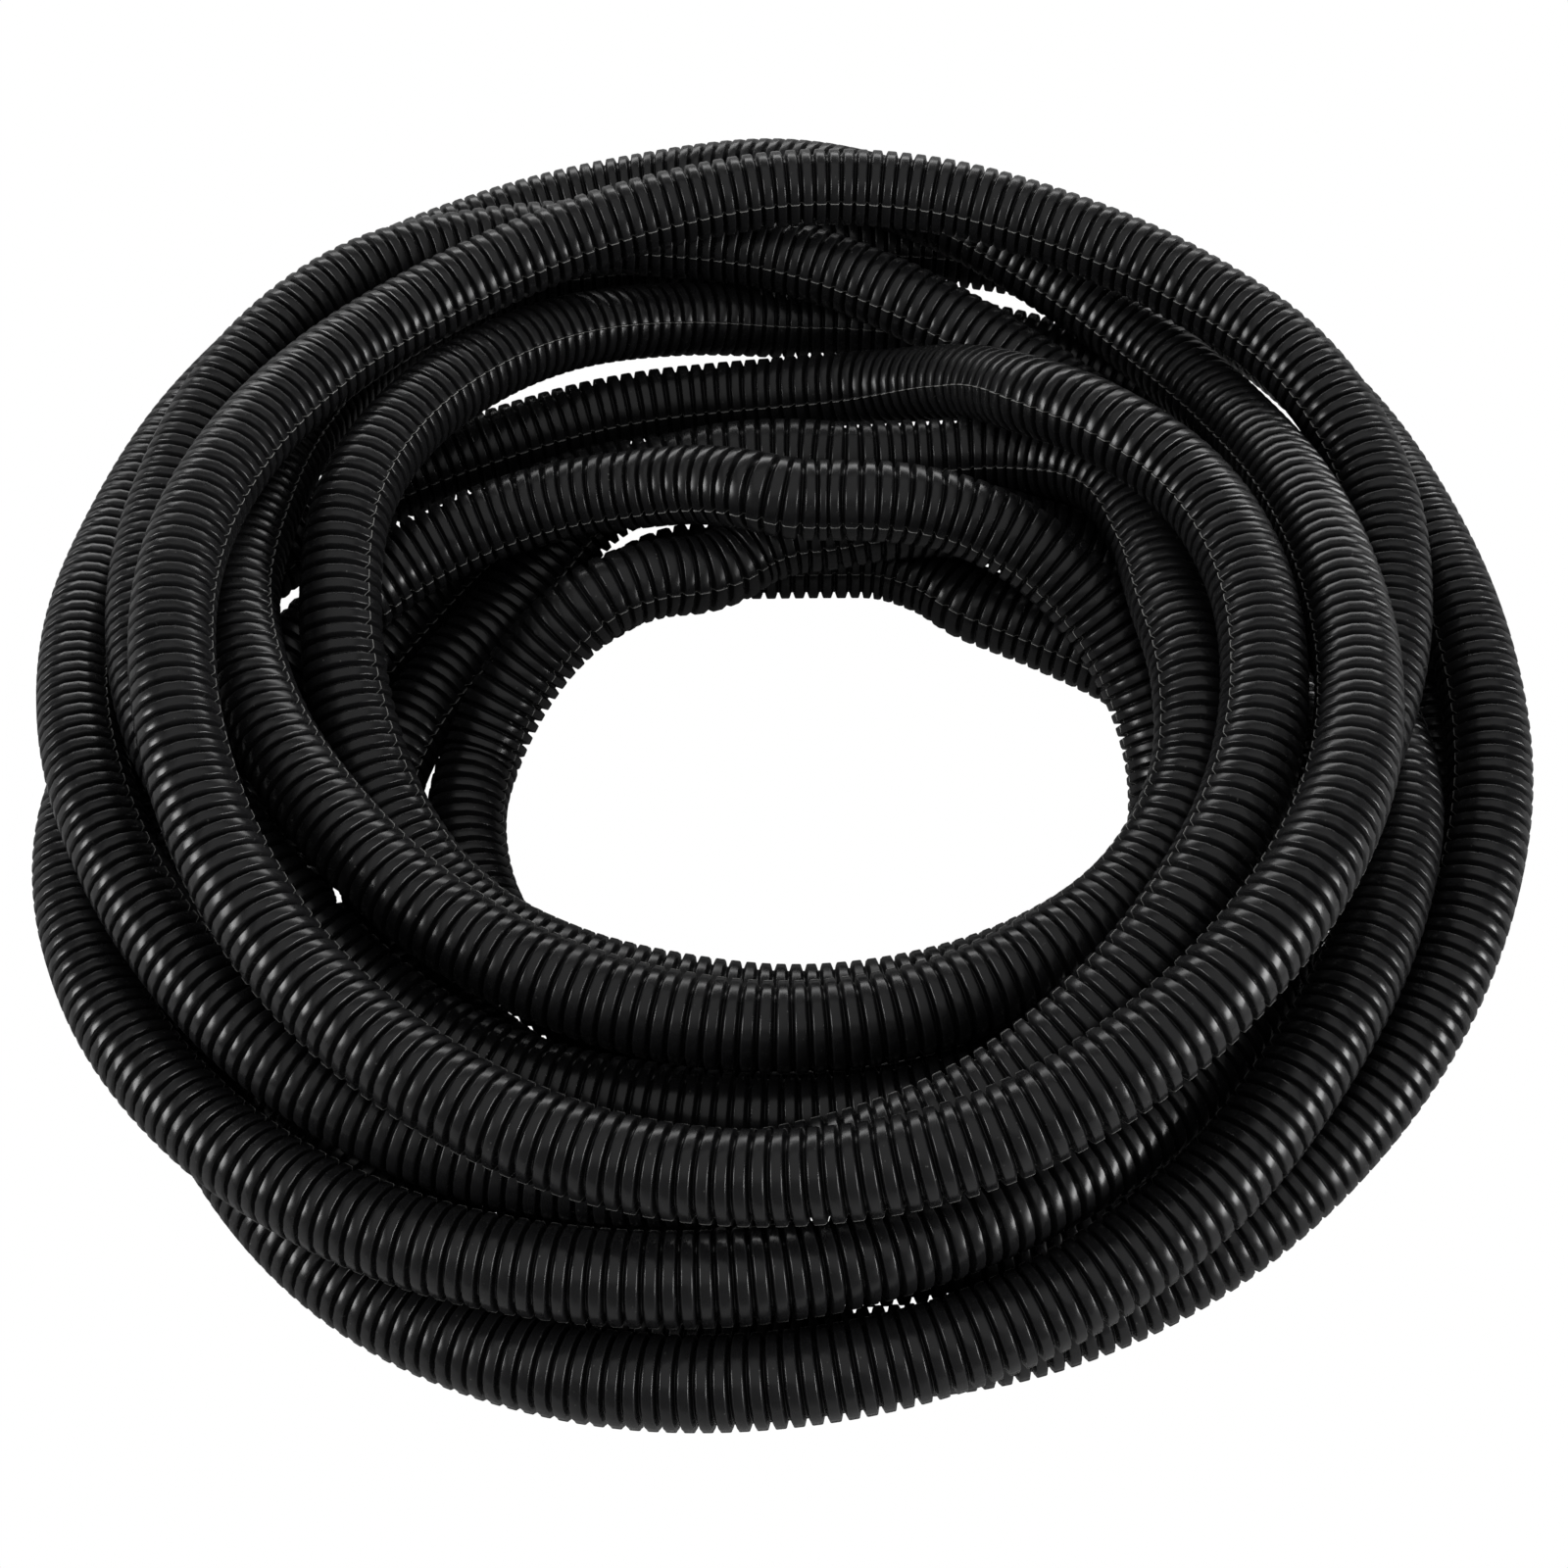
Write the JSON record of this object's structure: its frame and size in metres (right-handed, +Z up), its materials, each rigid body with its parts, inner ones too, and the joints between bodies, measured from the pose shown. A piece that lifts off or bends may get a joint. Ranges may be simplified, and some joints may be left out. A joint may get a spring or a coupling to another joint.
{
  "type": "corrugated conduit",
  "caption": "Loose coil of flexible corrugated plastic conduit that cables are drawn through for protection.",
  "frame": {"origin": "middle of the coil's box, on the floor that it lies on", "axes": "+Z up, the coil lying flat; -Y towards the viewer, +X to the viewer's right"},
  "size_m": [0.3832, 0.4002, 0.0957],
  "materials": {
    "conduit": "black satin moulded plastic with fine ribs"
  },
  "bodies": {
    "root": {"conduit": "conduit"}
  },
  "joints": []
}
